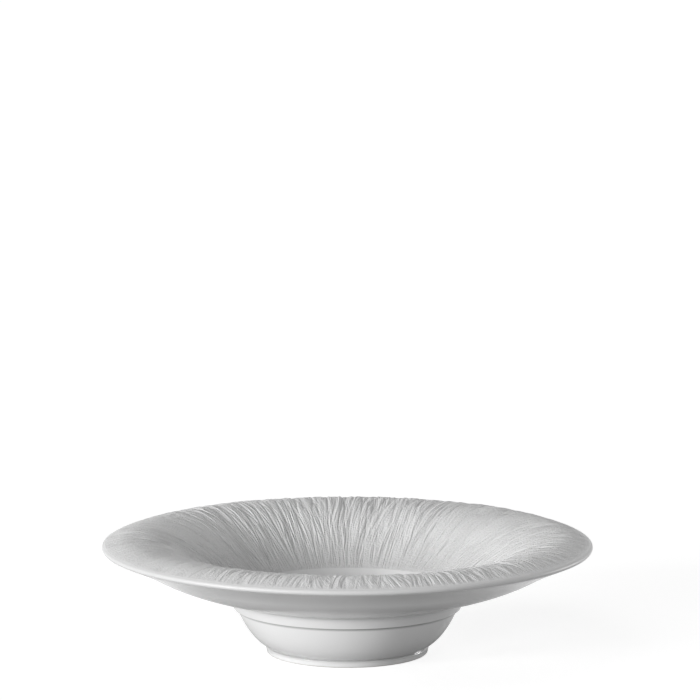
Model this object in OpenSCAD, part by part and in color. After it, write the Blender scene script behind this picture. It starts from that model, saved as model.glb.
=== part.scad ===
// Deep plate: a wide rim with a radial relief, a smooth lip, a small deep well,
// a stacking collar and a foot ring. The piece is turned about the Z axis, stands
// on its foot at Z = 0 and is measured in millimetres and degrees.

/* [Plate] */
// Diameter over the lip
plate_d = 285; // [270:1:305]
// Height from the table to the crest of the rim
plate_h = 69; // [66:0.5:74]

/* [Rim] */
// Diameter of the circle along which the rim is highest
crest_d = 248; // [232:1:256]
// Slope of the rim where it falls into the well
funnel_slope = 43; // [36:1:48]
// Slope of the rim where it meets the lip, downwards
shoulder_slope = 24; // [16:1:30]
// Drop from the crest to the inner edge of the lip
shoulder_drop = 4.1; // [2.5:0.1:5]
// Diameter of the circle along which the underside is steepest
belly_d = 234; // [214:1:246]
// Height of the underside on that circle
belly_h = 50.1; // [47:0.1:53]
// Slope of the underside on that circle
belly_slope = 29.5; // [24:0.5:34]
// Slope of the underside where it meets the collar
root_slope = 14.5; // [10:0.5:20]
// Slope of the underside where it meets the lip
verge_slope = 23; // [16:1:26]

/* [Lip] */
// Width of the smooth band between the relief and the outer edge
lip_w = 2; // [1.8:0.1:4]
// Radius of the rounded outer edge
lip_roll_r = 1.6; // [1.3:0.1:1.9]
// How much steeper the top of the lip is where it turns over than where it begins
lip_turn = 5; // [2:1:12]

/* [Relief] */
// Number of ridges round the rim
ridge_n = 140; // [80:2:150]
// Depth of the deepest grooves between the ridges
groove_depth = 1.1; // [0.3:0.1:1.3]
// Thickness of the relief layer over the body of the rim
relief_t = 1.8; // [1.5:0.1:2.4]
// Greatest sideways wander of a ridge, in ridge widths
wander_share = 1.2; // [0:0.1:1.5]
// Seed of the natural irregularity of the ridges
relief_seed = 11; // [1:1:99]

/* [Well] */
// Diameter of the edge of the well
well_d = 132; // [122:1:140]
// Height of the edge of the well above the table
well_edge_h = 38.2; // [36:0.2:42]
// Depth of the well from its edge to the middle of its floor
well_depth = 30; // [26:0.5:31]
// Diameter of the gently dished floor
floor_d = 80; // [66:1:86]
// Depth of the dish of the floor
dish_depth = 2.8; // [1:0.1:3.6]
// Radius between the floor and the wall of the well
well_corner_r = 26; // [16:0.5:28]

/* [Collar] */
// Width of the root of the rim, from the edge of the well to the collar
root_w = 5.6; // [5:0.1:8]
// Height of the root of the rim, from the collar up to the edge of the well
root_t = 4.3; // [3.6:0.1:5.4]
// Width of the collar
collar_w = 6.3; // [5.4:0.1:7.6]
// Height of the collar
collar_h = 7.5; // [6:0.1:8.5]
// Step from the collar in to the wall of the bowl
collar_step = 0.9; // [0.6:0.1:1.6]
// Bulge of the collar beyond a straight cone
collar_bulge = 0.6; // [0.3:0.1:1.4]

/* [Foot] */
// Diameter of the foot ring over its upper edge
foot_d = 95; // [88:0.2:98]
// Height at which the bowl leaves the foot ring
foot_h = 4.3; // [3.8:0.1:5.2]
// Height of the sharp upper edge of the foot ring
foot_edge_h = 3.3; // [2.2:0.1:3.6]
// Depth of the notch between the foot ring and the bowl
foot_notch = 0.8; // [0.3:0.1:1]
// Width of the foot ring where it meets the bowl
foot_w = 6.2; // [5:0.1:8]
// Draft of the sides of the foot ring
foot_draft = 0.6; // [0.2:0.1:1]
// Rounding of the standing face of the foot ring
foot_round = 0.7; // [0.4:0.1:1]
// Height of the recess inside the foot ring
recess_h = 3; // [2.4:0.1:3.4]
// Slope of the bowl where it leaves the foot ring
bowl_foot_slope = 25; // [20:1:34]
// Slope of the bowl below the collar
bowl_top_slope = 66; // [60:1:72]

/* [Hidden] */
$fn = 96;

porcelain = [0.93, 0.93, 0.94];
biscuit = [0.86, 0.85, 0.82];

// How finely the outlines follow their curves
curve_steps = 12;
arc_steps = 8;
// Rings and points of the relief
relief_bands = 8;
ridge_steps = 4;
relief_sides = ridge_n * ridge_steps;

// Radii of the plate
lip_r = plate_d / 2;
crest_r = crest_d / 2;
join_r = lip_r - lip_w;
belly_r = belly_d / 2;
well_r = well_d / 2;
floor_r = floor_d / 2;
foot_r = foot_d / 2;

// The rounded edge of the lip touches the top and the underside of the rim
join_top_h = plate_h - shoulder_drop;
brow_slope = shoulder_slope + lip_turn;
roll_mid_r = lip_r - lip_roll_r;
brow_run = roll_mid_r + lip_roll_r * sin(brow_slope) - join_r;
verge_run = roll_mid_r + lip_roll_r * sin(verge_slope) - join_r;
roll_mid_h = join_top_h - brow_run * tan((shoulder_slope + brow_slope) / 2)
           - lip_roll_r * cos(brow_slope);
join_low_h = roll_mid_h - lip_roll_r * cos(verge_slope) - verge_run * tan(verge_slope);

// The wall of the well is the line from its edge that touches the corner arc
floor_h = well_edge_h - well_depth;
dish_slope = atan(2 * dish_depth / floor_r);
corner_c = [floor_r - well_corner_r * sin(dish_slope),
            floor_h + dish_depth + well_corner_r * cos(dish_slope)];
well_edge = [well_r, well_edge_h];
edge_away = norm(well_edge - corner_c);
wall_turn = atan2(well_edge[1] - corner_c[1], well_edge[0] - corner_c[0])
          - acos(well_corner_r / edge_away);
wall_slope = 90 + wall_turn;

// Points where the pieces of the outline meet
relief_foot = well_edge - relief_t * [1 / tan(wall_slope), 1];
crease = [well_r + root_w, well_edge_h - root_t];
collar_low = crease - [collar_w, collar_h];
wall_top = collar_low - [collar_step, 0];
seat_share = 0.45;
collar_seat = relief_foot + seat_share * (crease - relief_foot);
neck = [foot_r - foot_notch, foot_h];
foot_in_r = neck[0] - foot_w;

// A smooth curve from a to b that leaves a and reaches b at the given slopes
function curve(a, b, slope_a, slope_b, steps = curve_steps, first = 0) =
    [for (i = [first : steps]) let (t = i / steps) [
        a[0] + (b[0] - a[0]) * t,
        curve_h((b[0] - a[0]) * tan(slope_a), (b[0] - a[0]) * tan(slope_b), a[1], b[1], t)]];
function curve_h(run_a, run_b, h_a, h_b, t) =
    h_a * (1 + 2 * t) * pow(1 - t, 2) + h_b * (3 - 2 * t) * pow(t, 2)
    + run_a * t * pow(1 - t, 2) - run_b * (1 - t) * pow(t, 2);

// An arc about c from angle a to angle b, counted from the outward direction
function arc(c, r, a, b, steps = arc_steps) =
    [for (i = [0 : steps]) let (w = a + (b - a) * i / steps) c + r * [cos(w), sin(w)]];

function backwards(points) = [for (i = [len(points) - 1 : -1 : 0]) points[i]];

// A line from a to b that swells by out halfway along, to its right
function swell(a, b, out, steps = arc_steps) =
    let (along = b - a, side = [along[1], -along[0]] / norm(along))
    [for (i = [0 : steps]) let (t = i / steps)
        a + t * along + out * sin(180 * t) * side];

// Height of the smooth top of the rim, from the well edge over the crest to the lip
function rim_top_h(r) = r < crest_r
    ? curve_h((crest_r - well_r) * tan(funnel_slope), 0, well_edge_h, plate_h,
              (r - well_r) / (crest_r - well_r))
    : curve_h(0, -(join_r - crest_r) * tan(shoulder_slope), plate_h, join_top_h,
              (r - crest_r) / (join_r - crest_r));
function band_r(k) = well_r + (join_r - well_r) * k / relief_bands;

// Seat of the relief on the body of the rim, at every second ring
seat_bands = [for (k = [0 : 2 : relief_bands]) k];
function seat_at(k) = k == 0 ? relief_foot : [band_r(k), rim_top_h(band_r(k)) - relief_t];

function underside() = concat(
    curve(crease, [belly_r, belly_h], root_slope, belly_slope),
    curve([belly_r, belly_h], [join_r, join_low_h], belly_slope, verge_slope, first = 1));

// Irregularity of the ridges: each has its own place and depth, and fades in its own way
ridge_pitch = 360 / ridge_n;
crown_noise = rands(-1, 1, ridge_n, relief_seed);
groove_noise = rands(-1, 1, ridge_n, relief_seed + 1);
depth_noise = rands(0, 1, ridge_n, relief_seed + 2);
phase_noise = rands(0, 360, ridge_n, relief_seed + 3);
crown_share = 0.12;
groove_share = 0.16;
least_depth_share = 0.35;
fade_share = 0.55;
edge_depth_share = 0.6;
// Depth across one ridge, from its crown through the groove towards the next crown
section_shares = [0, 0.42, 1, 0.36];
// Groups of neighbouring ridges lean and swing together as they run outwards:
// how many groups there are round the rim, how far each swings and how fast
swing_counts = [3, 7, 13];
swing_shares = [0.55, 0.3, 0.15];
swing_turns = [150, -210, 290];
// Turn of the fading along one groove, in degrees
fade_turn = 230;

function wander(a, t) = wander_share * ridge_pitch
    * swing_shares * [for (i = [0 : len(swing_counts) - 1])
        sin(swing_counts[i] * a + swing_turns[i] * t) - sin(swing_counts[i] * a)];
// Places of the crown and the groove of ridge j, in ridge widths
function crown_at(j) = j + crown_share * crown_noise[j % ridge_n];
function groove_at(j) = j + 1 / 2 + groove_share * groove_noise[j % ridge_n];
function ridge_at(j, s) = s == 0 ? crown_at(j)
    : s == 1 ? (crown_at(j) + groove_at(j)) / 2
    : s == 2 ? groove_at(j)
    : (groove_at(j) + crown_at(j + 1)) / 2;
function ridge_angle(j, s, t) =
    let (a = ridge_at(j, s) * ridge_pitch) a + wander(a, t);
function groove_h(j, s, t) =
    let (own = least_depth_share + (1 - least_depth_share) * pow(depth_noise[j], 2),
         run = 1 - fade_share * (1 + sin(phase_noise[j] + fade_turn * t)) / 2,
         ends = 1 - (1 - edge_depth_share) * pow(abs(2 * t - 1), 6))
    groove_depth * own * run * ends * section_shares[s];

// Point i of ring k of the relief. The inner ring lies in the wall of the well.
function relief_point(i, k) =
    let (j = floor(i / ridge_steps), s = i % ridge_steps, t = k / relief_bands,
         a = ridge_angle(j, s, t), g = groove_h(j, s, t),
         r = band_r(k) - (k == 0 ? g / tan(wall_slope) : 0))
    [r * cos(a), r * sin(a), rim_top_h(band_r(k)) - g];
function seat_point(j, k) =
    let (a = ridge_angle(j, 0, k / relief_bands), p = seat_at(k))
    [p[0] * cos(a), p[0] * sin(a), p[1]];

// Relief of the rim: a closed layer of wavy ridges over a plain seat
module rim_relief() {
    top_n = relief_sides * (relief_bands + 1);
    points = concat(
        [for (k = [0 : relief_bands]) for (i = [0 : relief_sides - 1]) relief_point(i, k)],
        [for (k = seat_bands) for (j = [0 : ridge_n - 1]) seat_point(j, k)]);
    upper = [for (k = [0 : relief_bands - 1]) for (i = [0 : relief_sides - 1])
        let (n = (i + 1) % relief_sides, a = k * relief_sides, b = a + relief_sides)
        each [[a + i, b + n, b + i], [a + i, a + n, b + n]]];
    lower = [for (k = [0 : len(seat_bands) - 2]) for (j = [0 : ridge_n - 1])
        let (n = (j + 1) % ridge_n, a = top_n + k * ridge_n, b = a + ridge_n)
        each [[a + j, b + j, b + n], [a + j, b + n, a + n]]];
    inner = end_wall(0, top_n);
    outer = end_wall(relief_bands * relief_sides, top_n + (len(seat_bands) - 1) * ridge_n);
    faces = concat(upper, lower, [for (f = inner) [f[0], f[2], f[1]]], outer);
    color(porcelain) polyhedron(points, faces);
}

// Triangles between a ring of the relief and the coarser ring of its seat
function end_wall(top, low) = [for (j = [0 : ridge_n - 1])
    let (n = (j + 1) % ridge_n, first = top + j * ridge_steps, half = ridge_steps / 2)
    each concat(
        [for (s = [0 : ridge_steps - 1])
            [first + s, top + (j * ridge_steps + s + 1) % relief_sides, low + (s < half ? j : n)]],
        [[first + half, low + n, low + j]])];

// Body of the rim, from the root at the well to the lip
module rim() {
    color(porcelain) rotate_extrude() polygon(concat(
        [for (k = seat_bands) seat_at(k)], backwards(underside()), [collar_seat]));
}

// Smooth rounded lip
module lip() {
    roll = arc([roll_mid_r, roll_mid_h], lip_roll_r, 90 - brow_slope, verge_slope - 90);
    brow = curve([join_r, join_top_h], roll[0], -shoulder_slope, -brow_slope, arc_steps);
    color(porcelain) rotate_extrude() polygon(concat(brow, roll, [[join_r, join_low_h]]));
}

// Bowl of the well: wall, corner and dished floor, open at the top
module well() {
    dish = curve([0, floor_h], [floor_r, floor_h + dish_depth], 0, dish_slope, arc_steps);
    corner = arc(corner_c, well_corner_r, dish_slope - 90, wall_turn, curve_steps);
    side = curve(neck, wall_top, bowl_foot_slope, bowl_top_slope);
    color(porcelain) rotate_extrude() polygon(concat(
        [[0, recess_h], [foot_in_r, recess_h], [foot_in_r, foot_h]], side,
        [collar_seat, relief_foot], backwards(corner), backwards(dish)));
}

// Convex stacking collar between the bowl and the rim
module collar() {
    color(porcelain) rotate_extrude() polygon(concat(
        [wall_top], swell(collar_low, crease, collar_bulge), [collar_seat]));
}

// Foot ring with a sharp upper edge and a rounded standing face
module foot_ring() {
    out_r = foot_r - foot_draft;
    in_r = foot_in_r + foot_draft;
    outer = arc([out_r - foot_round, foot_round], foot_round, -90, 0);
    inner = arc([in_r + foot_round, foot_round], foot_round, 180, 270);
    color(biscuit) rotate_extrude() polygon(concat(
        inner, outer, [[foot_r, foot_edge_h], neck, [foot_in_r, foot_h]]));
}

rim_relief();
rim();
lip();
well();
collar();
foot_ring();
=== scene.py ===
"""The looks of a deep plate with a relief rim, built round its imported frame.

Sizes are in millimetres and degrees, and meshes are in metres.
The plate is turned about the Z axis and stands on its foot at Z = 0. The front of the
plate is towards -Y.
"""

import logging
import math
from dataclasses import dataclass, field
from enum import Enum
from typing import Any

import bpy
from mathutils import Euler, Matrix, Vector

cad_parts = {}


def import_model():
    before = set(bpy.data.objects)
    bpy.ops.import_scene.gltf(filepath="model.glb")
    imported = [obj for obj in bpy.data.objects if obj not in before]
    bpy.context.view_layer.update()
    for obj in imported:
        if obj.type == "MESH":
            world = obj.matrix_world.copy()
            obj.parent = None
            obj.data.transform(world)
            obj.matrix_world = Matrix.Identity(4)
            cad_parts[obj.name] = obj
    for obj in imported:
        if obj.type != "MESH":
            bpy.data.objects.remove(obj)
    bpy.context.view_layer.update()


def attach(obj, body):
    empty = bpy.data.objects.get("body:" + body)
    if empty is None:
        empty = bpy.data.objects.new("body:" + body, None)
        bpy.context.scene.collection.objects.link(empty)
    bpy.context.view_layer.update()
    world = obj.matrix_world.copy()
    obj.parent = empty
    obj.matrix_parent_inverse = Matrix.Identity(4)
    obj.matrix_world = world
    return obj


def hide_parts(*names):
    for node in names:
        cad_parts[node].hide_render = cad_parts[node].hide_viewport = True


LOG = logging.getLogger("deep_plate")
MM = 0.001
BODY = "root"
WHITE = (1.0, 1.0, 1.0, 1.0)
# The middle of a noise, which lies between zero and one
MIDDLE = 0.5
# How strongly porcelain glaze bends light
GLAZE_IOR = 1.5
# Points of an outline that are nearer than this, in millimetres, are one point
TOUCHING = 1e-6

Point = tuple[float, float]
Corner = tuple[float, float, float]
Colour = tuple[float, float, float, float]


class Slot(Enum):
    """The material slots of the record."""

    RELIEF = "relief_porcelain"
    SMOOTH = "smooth_porcelain"
    FOOT = "foot_porcelain"


# Node expressions


class Value:
    """A node socket that takes part in Python sums, in shader and geometry trees alike."""

    def __init__(self, graph: "Graph", socket: bpy.types.NodeSocket) -> None:
        """Wraps one output socket of a graph."""
        self.graph = graph
        self.socket = socket

    def __add__(self, other: "Value | float") -> "Value":
        """Adds a value or a number."""
        return self.graph.math("ADD", self, other)

    def __sub__(self, other: "Value | float") -> "Value":
        """Takes a value or a number away."""
        return self.graph.math("SUBTRACT", self, other)

    def __rsub__(self, other: float) -> "Value":
        """Takes this value away from a number."""
        return self.graph.math("SUBTRACT", other, self)

    def __mul__(self, other: "Value | float") -> "Value":
        """Multiplies by a value or a number."""
        return self.graph.math("MULTIPLY", self, other)

    def __truediv__(self, other: "Value | float") -> "Value":
        """Divides by a value or a number."""
        return self.graph.math("DIVIDE", self, other)

    def __rtruediv__(self, other: float) -> "Value":
        """Divides a number by this value."""
        return self.graph.math("DIVIDE", other, self)

    def __pow__(self, other: "Value | float") -> "Value":
        """Raises to a power."""
        return self.graph.math("POWER", self, other)

    def __mod__(self, other: "Value | float") -> "Value":
        """The remainder after a division."""
        return self.graph.math("MODULO", self, other)

    def __abs__(self) -> "Value":
        """The size without its sign."""
        return self.graph.math("ABSOLUTE", self)

    def __gt__(self, other: "Value | float") -> "Value":
        """One where this value is the greater, zero elsewhere."""
        return self.graph.math("GREATER_THAN", self, other)

    def __lt__(self, other: "Value | float") -> "Value":
        """One where this value is the smaller, zero elsewhere."""
        return self.graph.math("LESS_THAN", self, other)

    __radd__ = __add__
    __rmul__ = __mul__


class Graph:
    """A node tree that is built by expressions."""

    def __init__(self, tree: bpy.types.NodeTree) -> None:
        """Starts with the given tree."""
        self.tree = tree

    def add(
        self,
        kind: str,
        settings: dict[str, Any] | None = None,
        inputs: dict[str | int, Any] | None = None,
        output: str | int | None = 0,
    ) -> Value | None:
        """Adds a node.

        Args:
            kind: the node's type.
            settings: its properties, set first.
            inputs: a value, number, colour or link for each socket that is set.
            output: the output that is wanted, or None for a node that ends a tree.

        Returns:
            The wanted output.
        """
        node = self.tree.nodes.new(kind)
        for name, setting in (settings or {}).items():
            setattr(node, name, setting)
        for key, value in (inputs or {}).items():
            socket = self._find(node.inputs, key)
            if isinstance(value, Value):
                self.tree.links.new(value.socket, socket)
            else:
                socket.default_value = value
        return None if output is None else Value(self, self._find(node.outputs, output))

    def math(self, operation: str, *values: Value | float) -> Value:
        """A Math node of the given operation on its values."""
        return self.add("ShaderNodeMath", {"operation": operation}, dict(enumerate(values)))

    def clamp(self, value: Value) -> Value:
        """The value held between zero and one."""
        return self.add("ShaderNodeClamp", inputs={0: value})

    def combine(self, x: Value | float, y: Value | float, z: Value | float) -> Value:
        """A vector of three values."""
        return self.add("ShaderNodeCombineXYZ", inputs={0: x, 1: y, 2: z})

    def split(self, vector: Value) -> tuple[Value, Value, Value]:
        """The three values of a vector."""
        node = self.add("ShaderNodeSeparateXYZ", inputs={0: vector}).socket.node
        return tuple(Value(self, output) for output in node.outputs)

    def size(self, name: str, value: Any) -> Any:
        """A size of a rule, whose name only a tree with inputs keeps."""
        return value

    def noise(
        self, place: Value, scale: float, layer: Value | float, detail: float = 1.0
    ) -> Value:
        """Smooth noise.

        Args:
            place: where it is read.
            scale: how many grains there are to a unit of place.
            layer: tells one noise from another.
            detail: how many finer noises are added.

        Returns:
            A value about one half, between zero and one.
        """
        return self.add(
            "ShaderNodeTexNoise",
            {"noise_dimensions": "4D"},
            {"Vector": place, "W": layer, "Scale": scale, "Detail": detail},
        )

    def attribute(self, name: str, output: str = "Fac") -> Value:
        """An attribute of the mesh, as a number or by another output of its node."""
        return self.add("ShaderNodeAttribute", {"attribute_name": name}, output=output)

    def blend(self, share: Value, low: Colour | Value, high: Colour | Value) -> Value:
        """A colour between two colours.

        Args:
            share: zero gives low and one gives high.
            low: the first colour.
            high: the second colour.

        Returns:
            The mixed colour.
        """
        return self.add(
            "ShaderNodeMix",
            {"data_type": "RGBA"},
            {"Factor_Float": share, "A_Color": low, "B_Color": high},
            "Result_Color",
        )

    @staticmethod
    def _find(sockets: Any, key: str | int) -> bpy.types.NodeSocket:
        """Finds a socket.

        Args:
            sockets: the inputs or outputs of a node.
            key: its place, identifier or name.

        Returns:
            The socket.
        """
        if isinstance(key, int):
            return sockets[key]
        for socket in sockets:
            if socket.identifier == key:
                return socket
        return sockets[key]


class FormTree(Graph):
    """A geometry tree with named sizes, which makes one plain mesh."""

    SOCKETS = {int: "NodeSocketInt", float: "NodeSocketFloat"}

    def __init__(self, name: str) -> None:
        """Starts an empty tree with one geometry output.

        Args:
            name: the tree's name.
        """
        super().__init__(bpy.data.node_groups.new(name, "GeometryNodeTree"))
        self.tree.is_modifier = True
        self.tree.interface.new_socket(
            "Geometry", in_out="OUTPUT", socket_type="NodeSocketGeometry"
        )
        self.source = self.tree.nodes.new("NodeGroupInput")
        self.given: dict[str, Any] = {}
        self.sizes: dict[str, Value] = {}

    def size(self, name: str, value: Any) -> Value:
        """A named input, which is added when it is first asked for.

        Args:
            name: the input's name.
            value: what the modifier sets it to: a number or a material.

        Returns:
            The input, for use in the tree.
        """
        if name not in self.sizes:
            kind = self.SOCKETS.get(type(value), "NodeSocketMaterial")
            socket = self.tree.interface.new_socket(name, in_out="INPUT", socket_type=kind)
            self.given[socket.identifier] = value
            self.sizes[name] = Value(self, self._find(self.source.outputs, socket.identifier))
        return self.sizes[name]

    def store(self, geometry: Value, marks: dict[str, Value]) -> Value:
        """Keeps values of each point as attributes of the mesh.

        Args:
            geometry: the mesh.
            marks: the value of each attribute by its name.

        Returns:
            The mesh with the attributes.
        """
        for name, value in marks.items():
            kind = "FLOAT_VECTOR" if value.socket.type == "VECTOR" else "FLOAT"
            geometry = self.add(
                "GeometryNodeStoreNamedAttribute",
                {"data_type": kind},
                {"Geometry": geometry, "Name": name, "Value": value},
            )
        return geometry

    def make(self, name: str, geometry: Value, material: Value) -> bpy.types.Object:
        """Ends the tree and turns its result into a plain mesh object.

        Args:
            name: the name of the object.
            geometry: what the tree has built.
            material: the material of every face.

        Returns:
            The object, with no modifier left on it.
        """
        solid = self.add("GeometryNodeRealizeInstances", inputs={"Geometry": geometry})
        dressed = self.add(
            "GeometryNodeSetMaterial", inputs={"Geometry": solid, "Material": material}
        )
        sink = self.tree.nodes.new("NodeGroupOutput")
        self.tree.links.new(dressed.socket, sink.inputs[0])
        carrier = link_mesh(name, bpy.data.meshes.new(name + "_carrier"))
        modifier = carrier.modifiers.new("form", "NODES")
        modifier.node_group = self.tree
        for identifier, value in self.given.items():
            modifier[identifier] = value
        graph = bpy.context.evaluated_depsgraph_get()
        mesh = bpy.data.meshes.new_from_object(carrier.evaluated_get(graph))
        carrier.modifiers.remove(modifier)
        carrier.data = mesh
        mesh.name = name
        return carrier


@dataclass(frozen=True)
class Stroke:
    """Strokes of one kind: noise drawn out along a flow and cut off at a level."""

    name: str
    # How many grains there are to the radius of the drum, near the well
    grains: float
    # How many grains there are along the drum, from the well to the lip
    runs: float
    # The noise below which a stroke begins, and how steeply it deepens
    level: float
    steepness: float
    layer: float = 0.0
    # How much finer the strokes are near the lip, and the layer that these are read from
    finer: float = 1.7
    finer_layer: float = 0.5

    def draw(self, graph: Graph, flow: Value, layer: Value | float, outwards: Value) -> Value:
        """Draws the strokes.

        Args:
            graph: the tree that they are worked out in.
            flow: a place on a drum of radius one, with the way along it as its height.
            layer: tells one family of strokes from another.
            outwards: zero where the strokes are coarse and one where they are fine.

        Returns:
            Zero on the plain ground and one in the middle of a stroke.
        """
        own = layer + self.layer
        grains = graph.size(self.name + " grains", self.grains)
        near = self.noise(graph, flow, grains, own)
        far = self.noise(graph, flow, grains * self.finer, own + self.finer_layer)
        return graph.clamp((self.level - (near + (far - near) * outwards)) * self.steepness)

    def noise(
        self, graph: Graph, flow: Value, grains: Value | float, layer: Value | float
    ) -> Value:
        """The noise that the strokes are cut from.

        Args:
            graph: the tree that it is worked out in.
            flow: a place on a drum of radius one.
            grains: how many grains there are to the drum's radius.
            layer: tells one noise from another.

        Returns:
            A value about one half, between zero and one.
        """
        x, y, along = graph.split(flow)
        place = graph.combine(x * grains, y * grains, along * self.runs)
        return graph.noise(place, 1.0, layer)


@dataclass(frozen=True)
class Speckle:
    """An even noise through the glaze."""

    per_m: float
    layer: float
    detail: float

    def read(self, graph: Graph, place: Value) -> Value:
        """The noise at a place, about one half."""
        return graph.noise(place, self.per_m, self.layer, self.detail)


def link_mesh(name: str, mesh: bpy.types.Mesh) -> bpy.types.Object:
    """Puts a mesh in the scene as an object at the origin.

    Args:
        name: the name of the object.
        mesh: its mesh.

    Returns:
        The new object.
    """
    piece = bpy.data.objects.new(name, mesh)
    bpy.context.scene.collection.objects.link(piece)
    return piece


# Outlines


def climb(
    t: Value | float,
    start: Value | float,
    end: Value | float,
    rise_start: Value | float,
    rise_end: Value | float,
) -> Value | float:
    """A smooth way between two heights, for numbers and for the values of a tree alike.

    Args:
        t: zero at the start and one at the end.
        start: the height at the start.
        end: the height at the end.
        rise_start: how far it would rise on the whole way at the slope of its start.
        rise_end: how far it would rise at the slope of its end.

    Returns:
        The height.
    """
    return (
        start * (1 + 2 * t) * (1 - t) ** 2 + end * (3 - 2 * t) * t**2
        + rise_start * t * (1 - t) ** 2 - rise_end * (1 - t) * t**2
    )


def bend(start: Point, end: Point, slope_start: float, slope_end: float, steps: int) -> list[Point]:
    """A smooth curve between two points of an outline.

    Args:
        start: radius and height where it starts.
        end: radius and height where it ends.
        slope_start: its slope at the start, in degrees.
        slope_end: its slope at the end, in degrees.
        steps: how many chords follow it.

    Returns:
        Its points, both ends included.
    """
    run = end[0] - start[0]
    rise_start = run * math.tan(math.radians(slope_start))
    rise_end = run * math.tan(math.radians(slope_end))
    shares = [step / steps for step in range(steps + 1)]
    return [
        (start[0] + run * t, climb(t, start[1], end[1], rise_start, rise_end)) for t in shares
    ]


def arc(centre: Point, radius: float, start: float, end: float, steps: int) -> list[Point]:
    """The points of an arc, between two angles in degrees from the outward direction."""
    angles = [math.radians(start + (end - start) * i / steps) for i in range(steps + 1)]
    return [(centre[0] + radius * math.cos(a), centre[1] + radius * math.sin(a)) for a in angles]


def soften(points: list[Point], corner: Point, reach: float, steps: int = 6) -> list[Point]:
    """Rounds one corner of a line of points, as glaze does.

    Args:
        points: the line.
        corner: the point of it that is rounded.
        reach: how far from the corner the rounding starts.
        steps: how many chords make the rounding.

    Returns:
        The line with the corner replaced by a small curve.
    """
    at = min(range(len(points)), key=lambda i: math.dist(points[i], corner))
    before = [p for p in points[:at] if math.dist(p, corner) > reach]
    after = [p for p in points[at + 1:] if math.dist(p, corner) > reach]
    if not before or not after:
        return points
    middle = Vector(points[at])
    start = middle + reach * (Vector(before[-1]) - middle).normalized()
    end = middle + reach * (Vector(after[0]) - middle).normalized()
    curve = []
    for step in range(steps + 1):
        t = step / steps
        curve.append(tuple((1 - t) ** 2 * start + 2 * t * (1 - t) * middle + t**2 * end))
    return before + curve + after


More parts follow.
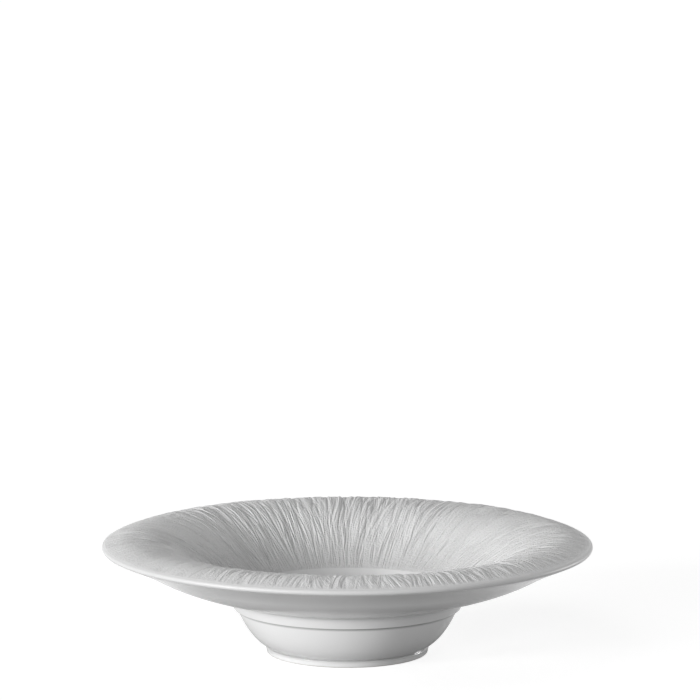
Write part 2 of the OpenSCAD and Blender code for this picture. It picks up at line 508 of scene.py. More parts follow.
@dataclass(frozen=True)
class PlateForm:
    """The sizes that more than one piece of the plate shares, and the points they give."""

    plate_r: float = 142.5
    plate_h: float = 69.0
    crest_r: float = 124.0
    funnel_slope: float = 43.0
    shoulder_slope: float = 24.0
    shoulder_drop: float = 4.1
    verge_slope: float = 23.0
    lip_w: float = 2.0
    lip_roll_r: float = 1.6
    lip_turn: float = 5.0
    layer_t: float = 1.8
    well_r: float = 66.0
    well_edge_h: float = 38.2
    well_depth: float = 30.0
    floor_r: float = 40.0
    dish_depth: float = 2.8
    corner_r: float = 26.0
    root_w: float = 5.6
    root_t: float = 4.3
    collar_w: float = 6.3
    collar_h: float = 7.5
    collar_step: float = 0.9
    seat_share: float = 0.45
    foot_r: float = 47.5
    foot_h: float = 4.3
    foot_notch: float = 0.8
    foot_w: float = 6.2

    @property
    def join_r(self) -> float:
        """Radius where the relief ends and the lip begins."""
        return self.plate_r - self.lip_w

    @property
    def join_top_h(self) -> float:
        """Height of the top where the lip begins."""
        return self.plate_h - self.shoulder_drop

    @property
    def brow_slope(self) -> float:
        """Slope of the top of the lip where it turns over."""
        return self.shoulder_slope + self.lip_turn

    @property
    def roll_mid(self) -> Point:
        """The middle of the rounding of the lip.

        Returns:
            Its radius and height.
        """
        radius = self.plate_r - self.lip_roll_r
        brow = math.radians(self.brow_slope)
        run = radius + self.lip_roll_r * math.sin(brow) - self.join_r
        fall = run * math.tan(math.radians((self.shoulder_slope + self.brow_slope) / 2))
        return radius, self.join_top_h - fall - self.lip_roll_r * math.cos(brow)

    @property
    def join_low_h(self) -> float:
        """The underside where the lip begins.

        Returns:
            Its height.
        """
        verge = math.radians(self.verge_slope)
        radius, height = self.roll_mid
        run = radius + self.lip_roll_r * math.sin(verge) - self.join_r
        return height - self.lip_roll_r * math.cos(verge) - run * math.tan(verge)

    @property
    def floor_h(self) -> float:
        """Height of the middle of the floor of the well."""
        return self.well_edge_h - self.well_depth

    @property
    def dish_slope(self) -> float:
        """Slope of the floor where it meets the corner, in degrees."""
        return math.degrees(math.atan(2 * self.dish_depth / self.floor_r))

    @property
    def corner_mid(self) -> Point:
        """The middle of the corner between the floor and the wall of the well.

        Returns:
            Its radius and height.
        """
        slope = math.radians(self.dish_slope)
        return (
            self.floor_r - self.corner_r * math.sin(slope),
            self.floor_h + self.dish_depth + self.corner_r * math.cos(slope),
        )

    @property
    def wall_turn(self) -> float:
        """The turn of the corner where it meets the wall of the well.

        Returns:
            Its angle from the outward direction, in degrees.
        """
        run = self.well_r - self.corner_mid[0]
        rise = self.well_edge_h - self.corner_mid[1]
        away = math.hypot(run, rise)
        return math.degrees(math.atan2(rise, run) - math.acos(self.corner_r / away))

    @property
    def wall_slope(self) -> float:
        """Slope of the wall of the well, in degrees."""
        return 90 + self.wall_turn

    @property
    def layer_foot(self) -> Point:
        """Where the relief layer ends in the wall of the well."""
        back = self.layer_t / math.tan(math.radians(self.wall_slope))
        return self.well_r - back, self.well_edge_h - self.layer_t

    @property
    def crease(self) -> Point:
        """Where the underside of the rim meets the collar."""
        return self.well_r + self.root_w, self.well_edge_h - self.root_t

    @property
    def collar_low(self) -> Point:
        """Lower edge of the collar."""
        return self.crease[0] - self.collar_w, self.crease[1] - self.collar_h

    @property
    def wall_top(self) -> Point:
        """Where the outside of the bowl meets the collar."""
        return self.collar_low[0] - self.collar_step, self.collar_low[1]

    @property
    def collar_seat(self) -> Point:
        """The point inside the wall where rim, well and collar meet."""
        foot, crease = Vector(self.layer_foot), Vector(self.crease)
        return tuple(foot + self.seat_share * (crease - foot))

    @property
    def neck(self) -> Point:
        """Where the bowl leaves the foot ring."""
        return self.foot_r - self.foot_notch, self.foot_h

    @property
    def foot_in_r(self) -> float:
        """Inner radius of the foot ring where it meets the bowl."""
        return self.neck[0] - self.foot_w

    def rim_top(self, steps: int) -> list[Point]:
        """The smooth top of the rim from the edge of the well over the crest to the lip.

        Args:
            steps: how many chords follow each of its two curves.

        Returns:
            Its points, from the well outwards.
        """
        edge, crest = (self.well_r, self.well_edge_h), (self.crest_r, self.plate_h)
        funnel = bend(edge, crest, self.funnel_slope, 0, steps)
        shoulder = bend(crest, (self.join_r, self.join_top_h), 0, -self.shoulder_slope, steps)
        return funnel + shoulder[1:]


# Finishes


@dataclass(frozen=True)
class SmoothPorcelain:
    """Satin glaze over white porcelain, a little uneven."""

    name: str = "smooth_porcelain"
    white: Colour = (0.87, 0.87, 0.87, 1.0)
    shade: Colour = (0.83, 0.83, 0.83, 1.0)
    roughness: float = 0.18
    roughness_swing: float = 0.06
    # Shade is painted into the seams, each a radius and a height, and is darkest within their core
    shaded_seams: tuple[Point, ...] = ()
    shade_grey: Colour = (0.40, 0.40, 0.40, 1.0)
    seam_w: float = 1.6
    seam_core_share: float = 0.25
    # Outside this radius, on the lip, the colour is greyer and the glaze rougher
    lip_band_r: float = math.inf
    lip_band: Colour = (0.68, 0.68, 0.68, 1.0)
    lip_band_roughness: float = 0.42
    lip_band_steepness: float = 2.0
    # Below this height the body is bare and ground flat
    bare_h: float = 0.0
    bare: Colour = (0.66, 0.65, 0.63, 1.0)
    bare_roughness: float = 0.85
    bare_steepness: float = 4.0
    # How far the edges of the lip band and the bare places wander
    wander: float = 0.4
    cloud: Speckle = Speckle(per_m=30.0, layer=1.0, detail=3.0)
    peel: Speckle = Speckle(per_m=260.0, layer=2.0, detail=2.0)
    grain: Speckle = Speckle(per_m=2600.0, layer=3.0, detail=1.0)
    # The height of the uneven glaze, in metres
    peel_height: float = 0.00002
    peel_strength: float = 0.35
    grain_share: float = 0.2

    def material(self) -> bpy.types.Material:
        """Builds the material.

        Returns:
            A material that reads Object coordinates.
        """
        material, graph = new_material(self.name)
        place = graph.add("ShaderNodeTexCoord", output="Object")
        cloud, peel = self.cloud.read(graph, place), self.peel.read(graph, place)
        grain = self.grain.read(graph, place)
        colour = graph.blend(cloud, self.white, self.shade)
        x, y, z = graph.split(place)
        radius, height = graph.math("SQRT", x * x + y * y) / MM, z / MM
        # Painted shade: the colour darkens towards each seam, where shade would fall
        for seam_r, seam_h in self.shaded_seams:
            out, up = radius - seam_r, height - seam_h
            away = graph.math("SQRT", out * out + up * up)
            seam_shade = graph.clamp(1 + self.seam_core_share - away / self.seam_w)
            colour = graph.blend(seam_shade, colour, self.shade_grey)
        roughness = self.roughness + (cloud + grain - 2 * MIDDLE) * self.roughness_swing
        wander = (peel - MIDDLE) * self.wander
        if self.lip_band_r < math.inf:
            lip_band = graph.clamp((radius + wander - self.lip_band_r) * self.lip_band_steepness)
            colour = graph.blend(lip_band, colour, self.lip_band)
            roughness = roughness * (1 - lip_band) + self.lip_band_roughness * lip_band
        if self.bare_h > 0:
            glazed = graph.clamp((height + wander - self.bare_h) * self.bare_steepness)
            colour = graph.blend(glazed, self.bare, colour)
            roughness = roughness * glazed + self.bare_roughness * (1 - glazed)
        relief = peel + grain * self.grain_share
        bump = graph.add(
            "ShaderNodeBump",
            inputs={"Strength": self.peel_strength, "Distance": self.peel_height, "Height": relief},
        )
        finish_surface(graph, colour, roughness, bump)
        return material


@dataclass(frozen=True)
class FootPorcelain(SmoothPorcelain):
    """The same glaze at the foot, a little greyer, with the standing face bare."""

    name: str = "foot_porcelain"
    white: Colour = (0.84, 0.84, 0.84, 1.0)
    shade: Colour = (0.80, 0.80, 0.80, 1.0)
    bare_h: float = 0.55


@dataclass(frozen=True)
class ReliefPorcelain:
    """Matte glaze over the relief, with shade painted into the grooves and threads as a darker
    grey.
    """

    name: str = "relief_porcelain"
    white: Colour = (0.74, 0.74, 0.74, 1.0)
    shade_grey: Colour = (0.635, 0.635, 0.635, 1.0)
    # How much of the painted shade the deepest groove and the threads each bring, and how far the
    # grain darkens towards the same grey
    groove_shade_share: float = 0.8
    thread_shade_share: float = 0.2
    grain_tone_share: float = 0.8
    roughness: float = 0.58
    roughness_swing: float = 0.16
    pool_gloss: float = 0.08
    thread: Stroke = Stroke("Thread", grains=100.0, runs=4.5, level=0.6, steepness=4.5)
    hair: Stroke = Stroke("Hair", grains=190.0, runs=9.0, level=0.6, steepness=4.5, layer=1.0)
    thread_share: float = 0.75
    hair_share: float = 0.25
    # The depth of the threads, in metres
    thread_height: float = 0.00036
    fore_layer: float = 4.0
    back_layer: float = 6.0
    grain: Speckle = Speckle(per_m=900.0, layer=5.0, detail=2.0)
    # The height of the grain, as a share of the depth of the threads
    grain_height_share: float = 1.3

    def material(self) -> bpy.types.Material:
        """Builds the material.

        Returns:
            A material that reads the flows of the relief, its depth and Object coordinates.
        """
        material, graph = new_material(self.name)
        place = graph.add("ShaderNodeTexCoord", output="Object")
        threads, depth = self.threads(graph), graph.attribute("depth")
        grain = self.grain.read(graph, place)
        # Painted shade in the grooves and the threads, with the grain's own speckle of tone
        shade_and_grain = graph.clamp(
            depth * depth * self.groove_shade_share + threads * self.thread_shade_share
            + (grain - MIDDLE) * self.grain_tone_share
        )
        colour = graph.blend(shade_and_grain, self.white, self.shade_grey)
        uneven = (grain - MIDDLE) * self.roughness_swing
        roughness = self.roughness + uneven - depth * self.pool_gloss
        relief = 1 - threads + grain * self.grain_height_share
        bump = graph.add(
            "ShaderNodeBump",
            inputs={"Strength": 1.0, "Distance": self.thread_height, "Height": relief},
        )
        finish_surface(graph, colour, roughness, bump)
        return material

    def threads(self, graph: Graph) -> Value:
        """The finest strokes of the relief, too fine for its mesh.

        Args:
            graph: the material's graph.

        Returns:
            Zero on the plain glaze and one in the deepest thread.
        """
        outwards, patch = graph.attribute("outwards"), graph.attribute("patch")
        families = []
        for side, layer in (("fore", self.fore_layer), ("back", self.back_layer)):
            flow = graph.attribute("flow_" + side, "Vector")
            thread = self.thread.draw(graph, flow, layer, outwards)
            hair = self.hair.draw(graph, flow, layer, outwards)
            families.append(thread * self.thread_share + hair * self.hair_share)
        fore, back = families
        return (fore * patch + back * (1 - patch)) * graph.attribute("ends")


def new_material(name: str) -> tuple[bpy.types.Material, Graph]:
    """Starts a material with an empty node tree.

    Args:
        name: the material's name.

    Returns:
        The material and its graph.
    """
    material = bpy.data.materials.new(name)
    material.use_nodes = True
    material.node_tree.nodes.clear()
    return material, Graph(material.node_tree)


def finish_surface(graph: Graph, colour: Value, roughness: Value, bump: Value) -> None:
    """Ends a material with the porcelain's surface shader.

    Args:
        graph: the material's graph.
        colour: its base colour.
        roughness: its roughness.
        bump: its normal.
    """
    surface = graph.add(
        "ShaderNodeBsdfPrincipled",
        inputs={"Base Color": colour, "Roughness": roughness, "Normal": bump, "IOR": GLAZE_IOR},
    )
    graph.add("ShaderNodeOutputMaterial", inputs={"Surface": surface}, output=None)


# Pieces


@dataclass
class Piece:
    """A piece of the plate that stands for one node of the frame."""

    form: PlateForm
    node: str
    slot: Slot
    finish: bpy.types.Material

    def build(self) -> bpy.types.Object:
        """Makes the piece and ties it to the frame.

        Returns:
            The finished object.
        """
        piece = self.shape()
        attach(piece, BODY)
        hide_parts(self.node)
        faces = len(piece.data.polygons)
        LOG.info("%s: %d faces, finished in %s", piece.name, faces, self.finish.name)
        return piece

    def shape(self) -> bpy.types.Object:
        """Builds the piece's mesh object."""
        raise NotImplementedError


@dataclass
class Turned(Piece):
    """A piece turned about the Z axis from a closed outline."""

    sides: int = 384
    sharp_angle: float = 24.0

    def outline(self) -> list[Point]:
        """The closed outline, in millimetres, in order round the section."""
        raise NotImplementedError

    def section(self) -> list[Point]:
        """The outline without double points, in the order that turns its faces outwards.

        Returns:
            Its points, in millimetres.
        """
        outline = self.outline()
        before = outline[-1:] + outline[:-1]
        points = [p for p, last in zip(outline, before) if math.dist(p, last) > TOUCHING]
        pairs = zip(points, points[1:] + points[:1])
        if sum(here[0] * then[1] - then[0] * here[1] for here, then in pairs) < 0:
            points.reverse()
        return points

    def turn(self, section: list[Point]) -> tuple[list[Corner], list[list[int]]]:
        """Turns each point of a section into a ring, or into one point on the axis.

        Args:
            section: the points, in millimetres.

        Returns:
            The vertices, in metres, and for each point the vertices of its ring.
        """
        vertices, rings = [], []
        for radius, height in section:
            first = len(vertices)
            count = self.sides if radius > TOUCHING else 1
            rings.append([first + side % count for side in range(self.sides)])
            for side in range(count):
                angle = 2 * math.pi * side / self.sides
                x, y = radius * MM * math.cos(angle), radius * MM * math.sin(angle)
                vertices.append((x, y, height * MM))
        return vertices, rings

    def walls(self, rings: list[list[int]]) -> list[tuple[int, ...]]:
        """Joins each ring to the next one and the last to the first.

        Args:
            rings: the vertices of each ring.

        Returns:
            The faces: four-sided, or three-sided about the axis.
        """
        faces = []
        for low, high in zip(rings, rings[1:] + rings[:1]):
            if low[0] == low[1] and high[0] == high[1]:
                continue
            for side in range(self.sides):
                then = (side + 1) % self.sides
                corners = dict.fromkeys((low[side], low[then], high[then], high[side]))
                faces.append(tuple(corners))
        return faces

    def shape(self) -> bpy.types.Object:
        """Turns the outline into a closed mesh.

        Returns:
            The object, with faces outwards and sharp edges only at real corners.
        """
        vertices, rings = self.turn(self.section())
        mesh = bpy.data.meshes.new(self.node)
        mesh.from_pydata(vertices, [], self.walls(rings))
        mesh.validate()
        mesh.polygons.foreach_set("use_smooth", [True] * len(mesh.polygons))
        mesh.set_sharp_from_angle(angle=math.radians(self.sharp_angle))
        mesh.materials.append(self.finish)
        return link_mesh("plate_" + self.node, mesh)


@dataclass
class Rim(Turned):
    """The body of the wide rim under its relief, with the smooth underside."""

    belly_r: float = 117.0
    belly_h: float = 50.1
    belly_slope: float = 29.5
    root_slope: float = 14.5
    steps: int = 40

    def outline(self) -> list[Point]:
        """The seat of the relief, and back along the underside.

        Returns:
            The closed outline, in millimetres.
        """
        form, belly = self.form, (self.belly_r, self.belly_h)
        verge = (form.join_r, form.join_low_h)
        seat = [(r, h - form.layer_t) for r, h in form.rim_top(self.steps)]
        inner = bend(form.crease, belly, self.root_slope, self.belly_slope, self.steps)
        outer = bend(belly, verge, self.belly_slope, form.verge_slope, self.steps)
        underside = inner + outer[1:]
        return [form.layer_foot] + seat[1:] + underside[::-1] + [form.collar_seat]


@dataclass
class Lip(Turned):
    """The smooth band and rounded edge outside the relief."""

    steps: int = 16

    def outline(self) -> list[Point]:
        """The brow, the rolled edge and the joint with the rim.

        Returns:
            The closed outline, in millimetres.
        """
        form = self.form
        roll = arc(
            form.roll_mid, form.lip_roll_r, 90 - form.brow_slope, form.verge_slope - 90, self.steps
        )
        start = (form.join_r, form.join_top_h)
        brow = bend(start, roll[0], -form.shoulder_slope, -form.brow_slope, self.steps)
        return brow + roll[1:] + [(form.join_r, form.join_low_h)]


@dataclass
class Well(Turned):
    """The bowl: wall, corner and dished floor, open at the top."""

    recess_h: float = 3.0
    bowl_foot_slope: float = 25.0
    bowl_top_slope: float = 66.0
    steps: int = 40

    def outline(self) -> list[Point]:
        """The base, the outside of the bowl and back down the inside.

        Returns:
            The closed outline, in millimetres.
        """
        form = self.form
        edge = (form.floor_r, form.floor_h + form.dish_depth)
        dish = bend((0, form.floor_h), edge, 0, form.dish_slope, self.steps)
        corner = arc(
            form.corner_mid, form.corner_r, form.dish_slope - 90, form.wall_turn, self.steps
        )
        side = bend(
            form.neck, form.wall_top, self.bowl_foot_slope, self.bowl_top_slope, self.steps
        )
        step = (form.foot_in_r, self.recess_h)
        base = [(0.0, self.recess_h), step, (form.foot_in_r, form.foot_h)]
        inside = dish + corner[1:]
        return base + side + [form.collar_seat, form.layer_foot] + inside[::-1]


@dataclass
class Collar(Turned):
    """The convex stacking collar between the bowl and the rim."""

    nose_w: float = 1.1
    nose_h: float = 0.8
    face_w: float = 1.5
    face_h: float = 3.0
    nose_slope: float = 20.0
    face_slope: float = 66.0
    brow_slope: float = 62.0
    fillet_slope: float = 22.0
    steps: int = 14

    def outline(self) -> list[Point]:
        """The step, the rounded nose, the face, the fillet and the joint inside the wall.

        Returns:
            The closed outline, in millimetres.
        """
        form = self.form
        nose = (form.collar_low[0] + self.nose_w, form.collar_low[1] + self.nose_h)
        brow = (nose[0] + self.face_w, nose[1] + self.face_h)
        turn = bend(form.collar_low, nose, self.nose_slope, self.face_slope, self.steps)
        face = bend(nose, brow, self.face_slope, self.brow_slope, self.steps)
        fillet = bend(brow, form.crease, self.brow_slope, self.fillet_slope, self.steps)
        return [form.wall_top] + turn + face[1:] + fillet[1:] + [form.collar_seat]


@dataclass
class FootRing(Turned):
    """The ring that the plate stands on, with a sharp upper edge and a rounded face."""

    edge_h: float = 3.3
    draft: float = 0.6
    round_r: float = 0.7
    edge_reach: float = 0.35
    steps: int = 10

    def outline(self) -> list[Point]:
        """Round the ring from its inner side over the standing face to the neck.

        Returns:
            The closed outline, in millimetres.
        """
        form = self.form
        out_r, in_r = form.foot_r - self.draft, form.foot_in_r + self.draft
        outer = arc((out_r - self.round_r, self.round_r), self.round_r, -90, 0, self.steps)
        inner = arc((in_r + self.round_r, self.round_r), self.round_r, 180, 270, self.steps)
        edge = (form.foot_r, self.edge_h)
        sides = inner + outer + [edge, form.neck, (form.foot_in_r, form.foot_h)]
        return soften(sides, edge, self.edge_reach)


@dataclass(frozen=True)
class Ramp:
    """A climb from zero to one."""

    start: float
    steepness: float

    def of(self, tree: Graph, value: Value) -> Value:
        """Zero up to the start, and from there as steep as the ramp until it reaches one."""
        return tree.clamp((value - self.start) * self.steepness)


@dataclass(frozen=True)
class RimGrain:
    """A noise round the rim: its grains to the radius of the drum and from well to lip."""

    around: float
    runs: float
    layer: float = 0.0


@dataclass(frozen=True)
class Crease:
    """Thin lines where a noise of the rim is half."""

    grain: RimGrain
    width: float
    power: float = 1.5


@dataclass
class Drum:
    """The rim unrolled on a drum about the Z axis, on which every noise closes on itself."""

    tree: FormTree
    angle: Value
    along: Value
    seed: Value

    def place(self, angle: Value, around: float = 1.0, runs: float = 1.0) -> Value:
        """A place at an angle on the drum, with the radius and the height of the drum given."""
        x, y = self.tree.math("COSINE", angle), self.tree.math("SINE", angle)
        return self.tree.combine(x * around, y * around, self.along * runs)

    def noise(self, grain: RimGrain, angle: Value | None = None) -> Value:
        """A noise of the rim, read at its own angle or at a given one."""
        place = self.place(angle or self.angle, grain.around, grain.runs)
        return self.tree.noise(place, 1.0, self.seed + grain.layer)

    def crease(self, crease: Crease, angle: Value) -> Value:
        """One along the lines of a crease, falling to zero beside them."""
        away = abs(self.noise(crease.grain, angle) - MIDDLE)
        return self.tree.clamp(1 - away * (1 / crease.width)) ** crease.power


@dataclass(frozen=True)
class Family:
    """Strokes of the relief that lean one way."""

    slant: float
    layer: float
    folds: Stroke = Stroke("Fold", grains=17.0, runs=1.1, level=0.61, steepness=4.6, layer=1.0)
    streaks: Stroke = Stroke("Streak", grains=42.0, runs=1.7, level=0.59, steepness=5.6, layer=2.0)
    fold_share: float = 0.40
    streak_share: float = 0.42
    # How far the slant swings from place to place
    swing: float = 3.0
    swing_around: float = 3.5
    swing_runs: float = 0.4

    def flow(self, drum: Drum, angle: Value, lean: Value) -> Value:
        """The flow that the strokes follow.

        Args:
            drum: the drum that they are drawn on.
            angle: the angle round it, with its waves.
            lean: how far a stroke turns on its way from the well to the lip.

        Returns:
            A place on a drum of radius one.
        """
        own = drum.noise(RimGrain(self.swing_around, self.swing_runs, self.layer))
        slant = self.slant + (own - MIDDLE) * self.swing
        return drum.place(angle + (drum.along - 0.5) * lean * slant)

    def depth(self, drum: Drum, flow: Value, outwards: Value) -> Value:
        """The folds and the streaks beside them, as a share of the deepest groove.

        Args:
            drum: the drum that they are drawn on.
            flow: the flow that they follow.
            outwards: zero where they are coarse and one where they are fine.

        Returns:
            The depth.
        """
        layer = drum.seed + self.layer
        folds = self.folds.draw(drum.tree, flow, layer, outwards)
        streaks = self.streaks.draw(drum.tree, flow, layer, outwards)
        return folds * self.fold_share + streaks * self.streak_share


@dataclass
class Relief(Piece):
    """The layer of wavy radial ridges and creases over the rim, as a rule in nodes."""

    sides: int = 1440
    rings: int = 62
    seat_rings: int = 3
    groove_depth: float = 1.3
    seed: float = 11.0
    # How far the strokes lean on their way outwards, and how far they wave, in radians
    lean: float = 0.09
    wave: float = 0.06
    wide_leans: float = 1.2
    wave_grain: RimGrain = RimGrain(around=5.5, runs=1.3, layer=30.0)
    wide_grain: RimGrain = RimGrain(around=1.5, runs=0.5)
    # Patches in which the one or the other family of strokes is on top
    fore: Family = Family(slant=1.0, layer=1.0)
    back: Family = Family(slant=-1.0, layer=5.0)
    patch_grain: RimGrain = RimGrain(around=7.0, runs=1.0, layer=20.0)
    patch_steepness: float = 12.0
    # Long creases across the strokes
    deep: Crease = Crease(RimGrain(around=12.0, runs=1.0, layer=10.0), width=0.04)
    near: Crease = Crease(RimGrain(around=22.0, runs=1.3, layer=11.0), width=0.06)
    near_share: float = 0.6
    crease_share: float = 0.45
    # Where the strokes are deep and where they are faint
    fade_grain: RimGrain = RimGrain(around=5.0, runs=1.3, layer=12.0)
    fade_ramp: Ramp = Ramp(start=0.32, steepness=2.8)
    faint_share: float = 0.45
    bold_share: float = 0.7
    # From the well outwards: the strokes get finer, calm down and end before the lip
    finer_ramp: Ramp = Ramp(start=0.25, steepness=1.8)
    calm_ramp: Ramp = Ramp(start=0.66, steepness=5.0)
    calm_share: float = 0.3
    lip_steepness: float = 22.0
    well_fade_share: float = 0.35
    well_fade_power: float = 16.0
    # Points of the mesh that are nearer than this, in metres, are joined
    weld: float = 2e-6

    def top_height(self, tree: FormTree, radius: Value) -> Value:
        """The height of the smooth top of the rim at a radius, in metres.

        Args:
            tree: the tree that it is worked out in.
            radius: the radius, in metres.

        Returns:
            The height, as a value of the tree.
        """
        form = self.form
        well_r = tree.size("Well radius", form.well_r * MM)
        edge_h = tree.size("Well edge height", form.well_edge_h * MM)
        crest_r = tree.size("Crest radius", form.crest_r * MM)
        crest_h = tree.size("Crest height", form.plate_h * MM)
        join_r = tree.size("Lip joint radius", form.join_r * MM)
        join_h = tree.size("Lip joint height", form.join_top_h * MM)
        funnel = tree.size("Funnel gradient", math.tan(math.radians(form.funnel_slope)))
        shoulder = tree.size("Shoulder gradient", math.tan(math.radians(form.shoulder_slope)))
        before, beyond = crest_r - well_r, join_r - crest_r
        up = tree.clamp((radius - well_r) / before)
        over = tree.clamp((radius - crest_r) / beyond)
        rise = climb(up, edge_h, crest_h, before * funnel, 0.0)
        fall = climb(over, 0.0, crest_h - join_h, 0.0, beyond * shoulder)
        return rise - fall

    def grooves(self, tree: FormTree, angle: Value, along: Value) -> dict[str, Value]:
        """The grooves under the smooth top.

        Args:
            tree: the tree that it is worked out in.
            angle: the angle round the rim.
            along: zero at the edge of the well and one at the lip.

        Returns:
            The depth as a share of the deepest, the flows that the two families of strokes
            lean along, which of the two a place has, how fine its strokes are, and how far
            they are faded towards the well and the lip.
        """
        drum = Drum(tree, angle, along, tree.size("Seed", self.seed))
        lean, wave = tree.size("Lean", self.lean), tree.size("Wave", self.wave)
        waved = angle + (drum.noise(self.wave_grain) - MIDDLE) * wave
        turned = waved + (drum.noise(self.wide_grain) - MIDDLE) * lean * self.wide_leans
        outwards = self.finer_ramp.of(tree, along)
        patch = (drum.noise(self.patch_grain) - MIDDLE) * self.patch_steepness
        patch = tree.clamp(patch + MIDDLE)

        fore, back = self.fore.flow(drum, waved, lean), self.back.flow(drum, waved, lean)
        depth = self.fore.depth(drum, fore, outwards) * patch
        depth = depth + self.back.depth(drum, back, outwards) * (1 - patch)
        fade = self.fade_ramp.of(tree, drum.noise(self.fade_grain, turned))
        fade = self.faint_share + self.bold_share * fade
        creases = drum.crease(self.deep, turned) + drum.crease(self.near, turned) * self.near_share
        ends = self.ends(tree, along)
        depth = tree.clamp(depth * fade + creases * self.crease_share) * ends
        return {
            "depth": depth, "flow_fore": fore, "flow_back": back, "patch": patch,
            "outwards": outwards, "ends": ends,
        }

    def ends(self, tree: FormTree, along: Value) -> Value:
        """How far the strokes are faded towards the well and the lip.

        Args:
            tree: the tree that it is worked out in.
            along: zero at the edge of the well and one at the lip.

        Returns:
            One where they are as deep as elsewhere, and zero where they are gone.
        """
        at_well = (1 - along) ** self.well_fade_power
        before_lip = tree.clamp((1 - along) * self.lip_steepness)
        calm = self.calm_ramp.of(tree, along)
        return (1 - self.well_fade_share * at_well) * before_lip * (1 - self.calm_share * calm)

    def shape(self) -> bpy.types.Object:
        """Builds the closed relief layer: ridged top, two end walls and plain seat.

        Returns:
            The object, a plain mesh with what its finish reads as attributes.
        """
        tree = FormTree("rim_relief_form")
        sides = tree.size("Sides", self.sides)
        rings = tree.size("Rings", self.rings)
        seat_rings = tree.size("Seat rings", self.seat_rings)
        loops = rings + seat_rings + 2
        tube = tree.add(
            "GeometryNodeMeshCylinder",
            {"fill_type": "NONE"},
            {"Vertices": sides, "Side Segments": loops, "Radius": 1.0, "Depth": 1.0},
            "Mesh",
        )
        x, y, z = tree.split(tree.add("GeometryNodeInputPosition"))
        angle = tree.math("ARCTAN2", y, x)
        # The tube is one high, with its middle at the origin; its last ring is the first again
        ring = tree.math("ROUND", (z + 0.5) * loops) % loops
        on_seat = ring > rings + 0.5
        seat_along = 1 - (ring - rings - 1) / seat_rings
        along = ring / rings * (1 - on_seat) + seat_along * on_seat

        marks = self.grooves(tree, angle, along)
        marked = tree.store(tube, marks | {"rim_ring": ring})
        place = self.place(tree, angle, along, on_seat, marks["depth"])
        placed = tree.add(
            "GeometryNodeSetPosition", inputs={"Geometry": marked, "Position": place}
        )
        closed = tree.add(
            "GeometryNodeMergeByDistance", inputs={"Geometry": placed, "Distance": self.weld}
        )
        piece = tree.make("plate_" + self.node, closed, tree.size("Finish", self.finish))
        self.set_corners(piece.data)
        return piece

    def place(
        self, tree: FormTree, angle: Value, along: Value, on_seat: Value, depth: Value
    ) -> Value:
        """Where a point of the layer is.

        Args:
            tree: the tree that it is worked out in.
            angle: the angle round the rim.
            along: zero at the edge of the well and one at the lip.
            on_seat: one on the underside of the layer and zero on its top.
            depth: how deep the top is grooved, as a share of the deepest groove.

        Returns:
            The place as a vector, in metres.
        """
        form = self.form
        at_well = along < 0.5 / tree.size("Rings", self.rings)
        groove_depth = tree.size("Groove depth", self.groove_depth * MM)
        layer_t = tree.size("Layer thickness", form.layer_t * MM)
        wall = tree.size("Wall gradient", math.tan(math.radians(form.wall_slope)))
        width = tree.size("Width", (form.join_r - form.well_r) * MM)
        radius = tree.size("Well radius", form.well_r * MM) + width * along
        lowered = depth * groove_depth * (1 - on_seat) + layer_t * on_seat
        height = self.top_height(tree, radius) - lowered
        radius = radius - at_well * lowered / wall
        return tree.combine(
            tree.math("COSINE", angle) * radius, tree.math("SINE", angle) * radius, height
        )

    def set_corners(self, mesh: bpy.types.Mesh) -> None:
        """Smooths the relief and keeps its hidden corners at the lip sharp.

        Args:
            mesh: the relief's mesh, with the ring of each point.
        """
        mesh.polygons.foreach_set("use_smooth", [True] * len(mesh.polygons))
        ring = [0.0] * len(mesh.vertices)
        mesh.attributes["rim_ring"].data.foreach_get("value", ring)
        corners = {self.rings, self.rings + 1, self.rings + 1 + self.seat_rings}
        sharp = [
            ring[a] == ring[b] and round(ring[a]) in corners
            for a, b in (edge.vertices for edge in mesh.edges)
        ]
        mark = mesh.attributes.new("sharp_edge", "BOOLEAN", "EDGE")
        mark.data.foreach_set("value", sharp)
        mesh.attributes.remove(mesh.attributes["rim_ring"])


# Studio


def direction(azimuth: float, elevation: float) -> Vector:
    """A direction away from the plate.

    Args:
        azimuth: degrees from the front, positive towards the right.
        elevation: degrees above the floor.

    Returns:
        A unit vector.
    """
    turn, rise = math.radians(azimuth), math.radians(elevation)
    level = math.cos(rise)
    return Vector((math.sin(turn) * level, -math.cos(turn) * level, math.sin(rise)))


def facing(away: Vector) -> Euler:
    """The turn of a lamp or a camera whose back is towards a direction."""
    return away.to_track_quat("Z", "Y").to_euler()


@dataclass
class Lamp:
    """A soft distant lamp; without gloss, it lights the plate but isn't mirrored in it."""

    name: str
    azimuth: float
    elevation: float
    strength: float
    # How wide its light is in the sky, in degrees
    width: float
    gloss: bool = True

    def build(self) -> bpy.types.Object:
        """Hangs the lamp.

        Returns:
            The lamp, shining from its azimuth, counted from the front towards the right.
        """
        data = bpy.data.lights.new(self.name, "SUN")
        data.energy = self.strength
        data.angle = math.radians(self.width)
        lamp = bpy.data.objects.new(self.name, data)
        bpy.context.scene.collection.objects.link(lamp)
        lamp.visible_glossy = self.gloss
        lamp.rotation_euler = facing(direction(self.azimuth, self.elevation))
        return lamp


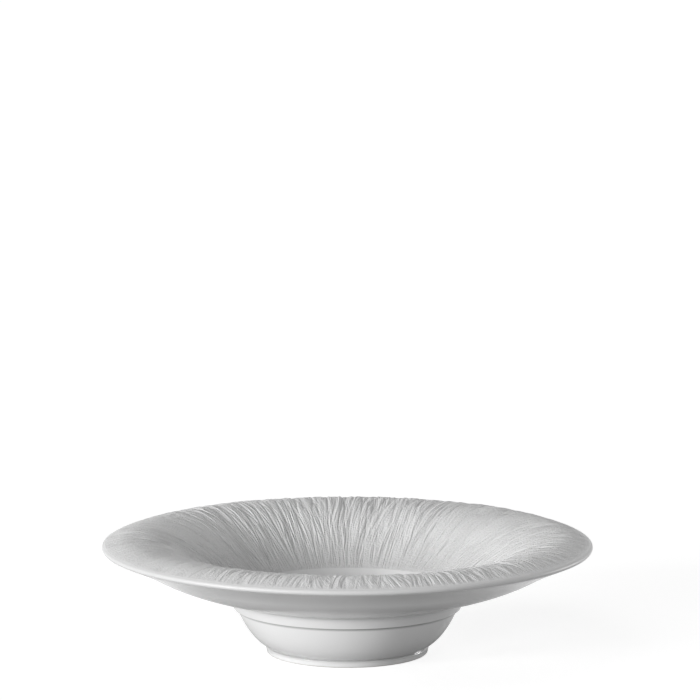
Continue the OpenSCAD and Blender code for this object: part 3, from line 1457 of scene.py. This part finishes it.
@dataclass
class Studio:
    """Pale floor, white surroundings, soft lamps and the camera, with lengths in metres."""

    floor_size: float = 80.0
    floor_white: Colour = (0.45, 0.45, 0.45, 1.0)
    # How bright the floor is to the camera, beside the light that falls on it
    floor_glow: float = 0.785
    # Near the foot the floor that the plate mirrors is in the plate's own shade
    shade_r: float = 0.05
    shade_reach: float = 0.10
    # How bright the surroundings are as a lamp; to the camera they are white
    ambient: float = 0.245
    lamps: tuple[Lamp, ...] = field(default_factory=lambda: (
        Lamp("key_lamp", azimuth=-60.0, elevation=10.0, strength=2.0, width=14.0),
        Lamp("fill_lamp", azimuth=-30.0, elevation=10.0, strength=1.05, width=14.0),
        Lamp("upper_lamp", azimuth=-60.0, elevation=50.0, strength=0.38, width=40.0),
        Lamp("back_lamp", azimuth=120.0, elevation=4.0, strength=1.2, width=16.0),
        Lamp("rear_lamp", azimuth=190.0, elevation=5.0, strength=0.75, width=30.0, gloss=False),
    ))
    # The camera: the height that it is placed about, and its lens and sensor in millimetres
    aim_h: float = 0.035
    distance: float = 2.5
    elevation: float = 11.46
    lens: float = 220.4
    sensor: float = 36.0
    sight: float = 500.0
    # How wide the frame is, and where in it that height on the plate's axis is
    frame_px: float = 700.0
    plate_px: tuple[float, float] = (347.32, 591.84)

    def build(self) -> None:
        """Builds the floor, the surroundings, the lamps and the camera."""
        self.lay_floor()
        self.light_world()
        for lamp in self.lamps:
            lamp.build()
        self.place_camera()
        bpy.context.scene.view_settings.view_transform = "Standard"

    def lay_floor(self) -> bpy.types.Object:
        """Lays a plain pale floor that keeps the plate's shadow.

        Returns:
            The floor.
        """
        half = self.floor_size / 2
        mesh = bpy.data.meshes.new("floor")
        corners = [(-half, -half, 0.0), (half, -half, 0.0), (half, half, 0.0), (-half, half, 0.0)]
        mesh.from_pydata(corners, [], [(0, 1, 2, 3)])
        material, graph = new_material("pale_floor")
        x, y, _ = graph.split(graph.add("ShaderNodeTexCoord", output="Object"))
        away = graph.math("SQRT", x * x + y * y)
        clear = graph.clamp((away - self.shade_r) / self.shade_reach)
        seen = self.rays(graph, "Is Camera Ray")
        mirrored = self.rays(graph, "Is Glossy Ray", "Is Transmission Ray")
        surface = graph.add(
            "ShaderNodeBsdfPrincipled",
            inputs={
                "Base Color": self.floor_white, "Roughness": 1.0, "Specular IOR Level": 0.0,
                "Emission Color": graph.clamp(seen + mirrored * clear),
                "Emission Strength": self.floor_glow,
            },
        )
        graph.add("ShaderNodeOutputMaterial", inputs={"Surface": surface}, output=None)
        mesh.materials.append(material)
        floor = link_mesh("floor", mesh)
        return floor

    def light_world(self) -> None:
        """Makes the surroundings white to look at and plain to light by."""
        world = bpy.data.worlds.new("studio")
        bpy.context.scene.world = world
        world.use_nodes = True
        world.node_tree.nodes.clear()
        graph = Graph(world.node_tree)
        seen = self.rays(graph, "Is Camera Ray", "Is Glossy Ray", "Is Transmission Ray")
        strength = seen + (1 - seen) * self.ambient
        light = graph.add(
            "ShaderNodeBackground", inputs={"Color": WHITE, "Strength": strength}
        )
        graph.add("ShaderNodeOutputWorld", inputs={"Surface": light}, output=None)

    @staticmethod
    def rays(graph: Graph, *kinds: str) -> Value:
        """One for rays of the given kinds of the Light Path node, and zero for others."""
        found = [graph.add("ShaderNodeLightPath", output=kind) for kind in kinds]
        return graph.clamp(sum(found[1:], found[0]))

    def place_camera(self) -> bpy.types.Object:
        """Places the camera so that the plate has its place in the photograph's frame.

        Returns:
            The camera.
        """
        data = bpy.data.cameras.new("camera")
        data.sensor_width = self.sensor
        data.lens = self.lens
        data.clip_end = self.sight
        camera = bpy.data.objects.new("camera", data)
        bpy.context.scene.collection.objects.link(camera)
        target = Vector((0.0, 0.0, self.aim_h))
        camera.location = target + direction(0.0, self.elevation) * self.distance
        focal_px = self.lens / self.sensor * self.frame_px
        right = math.degrees(math.atan((self.plate_px[0] - self.frame_px / 2) / focal_px))
        down = math.degrees(math.atan((self.plate_px[1] - self.frame_px / 2) / focal_px))
        camera.rotation_euler = facing(direction(right, self.elevation - down))
        bpy.context.scene.camera = camera
        return camera


def main() -> None:
    """Loads the frame, builds every piece and the studio."""
    logging.basicConfig(level=logging.INFO, format="%(name)s %(message)s")
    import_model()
    form = PlateForm()
    # Painted shade in the seam under the collar and in the seam where the bowl leaves the foot ring
    smooth = SmoothPorcelain(shaded_seams=(form.wall_top,), lip_band_r=form.join_r).material()
    foot = FootPorcelain(shaded_seams=(form.neck,)).material()
    relief = ReliefPorcelain().material()
    for piece in (
        Relief(form, "rim_relief", Slot.RELIEF, relief),
        Rim(form, "rim", Slot.SMOOTH, smooth),
        Lip(form, "lip", Slot.SMOOTH, smooth),
        Well(form, "well", Slot.SMOOTH, smooth),
        Collar(form, "collar", Slot.SMOOTH, smooth),
        FootRing(form, "foot_ring", Slot.FOOT, foot),
    ):
        piece.build()
    Studio().build()


if __name__ == "__main__":
    main()
